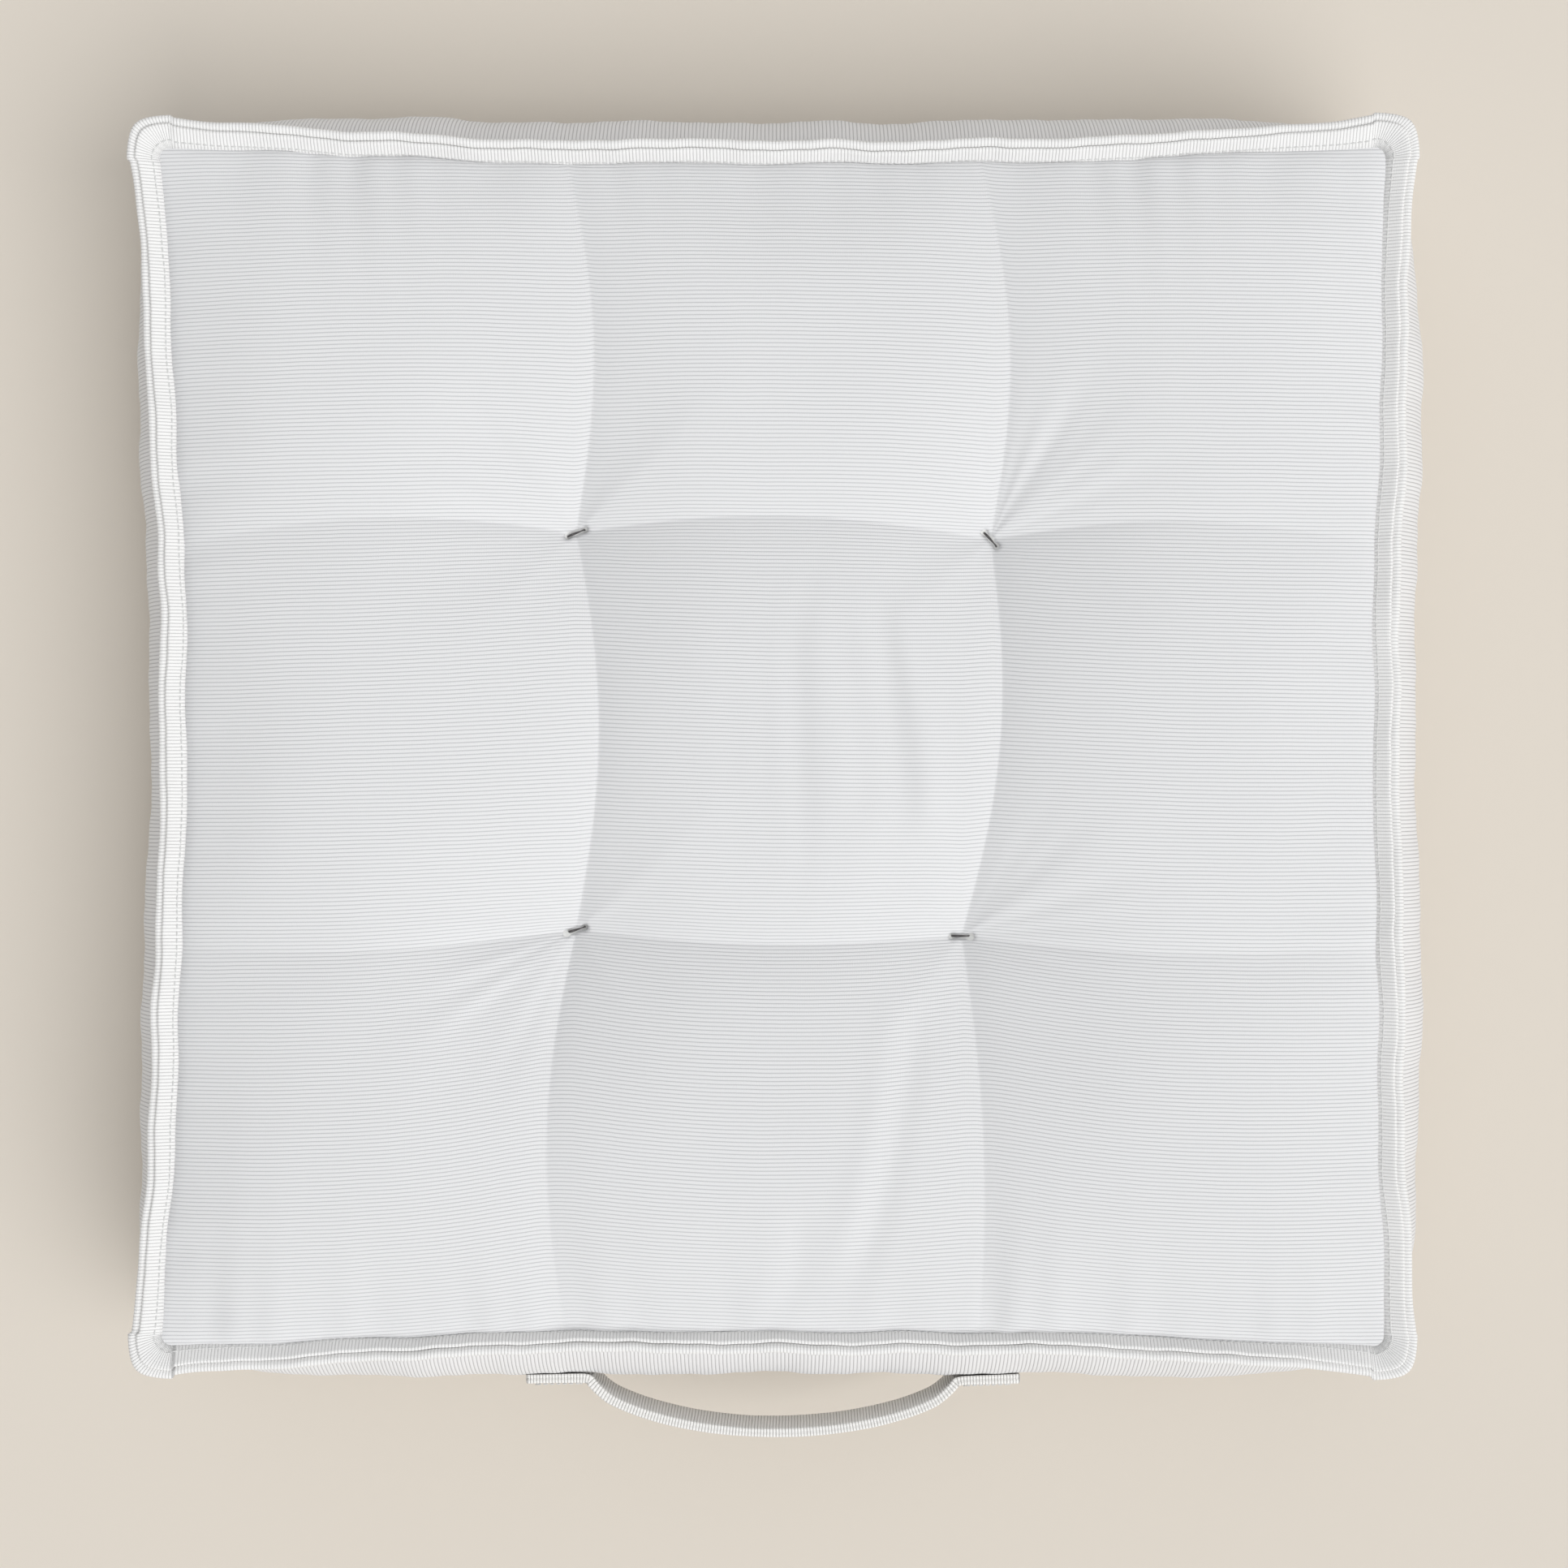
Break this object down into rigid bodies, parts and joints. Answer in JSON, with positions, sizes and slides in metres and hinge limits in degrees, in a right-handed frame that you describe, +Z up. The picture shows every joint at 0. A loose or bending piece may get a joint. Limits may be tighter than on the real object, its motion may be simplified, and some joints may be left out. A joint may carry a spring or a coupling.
{
  "type": "floor cushion",
  "caption": "Square tufted box floor cushion in ribbed cotton, with a sewn mattress edge round top and bottom and a fabric carrying handle on one side.",
  "frame": {"origin": "on the floor, under the middle of the cushion", "axes": "+Z up, -Y towards the side with the handle, +X to the right when facing that side"},
  "size_m": [0.629, 0.647, 0.1254],
  "materials": {
    "ribbed_cotton": "matte ribbed cotton",
    "strap_cotton": "matte ribbed cotton, folded",
    "batting": "matte fleece",
    "foam": "matte foam",
    "tuft_thread": "waxed cotton",
    "sewing_thread": "satin thread"
  },
  "bodies": {
    "cushion": {"top_panel": "ribbed_cotton", "bottom_panel": "ribbed_cotton", "band_front": "ribbed_cotton", "band_right": "ribbed_cotton", "band_back": "ribbed_cotton", "band_left": "ribbed_cotton", "top_batting": "batting", "bottom_batting": "batting", "edge_batting": "batting", "foam_core": "foam", "tuft_thread_back_left": "tuft_thread", "tuft_thread_back_right": "tuft_thread", "tuft_thread_front_left": "tuft_thread", "tuft_thread_front_right": "tuft_thread", "top_seam_thread": "sewing_thread", "bottom_seam_thread": "sewing_thread", "corner_seam_thread": "sewing_thread", "handle_end_left": "strap_cotton", "handle_end_right": "strap_cotton", "handle_thread_left": "sewing_thread", "handle_thread_right": "sewing_thread"},
    "handle": {"handle_grip": "strap_cotton", "handle_leg_left": "strap_cotton", "handle_leg_right": "strap_cotton"}
  },
  "joints": [
    {"name": "handle_swing", "type": "hinge", "parent": "cushion", "child": "handle", "pos_m": [0, -0.3118, 0.062], "axis": [1, 0, 0], "range_deg": [-50, 50], "deforming": ["handle_leg_left", "handle_leg_right"]}
  ]
}
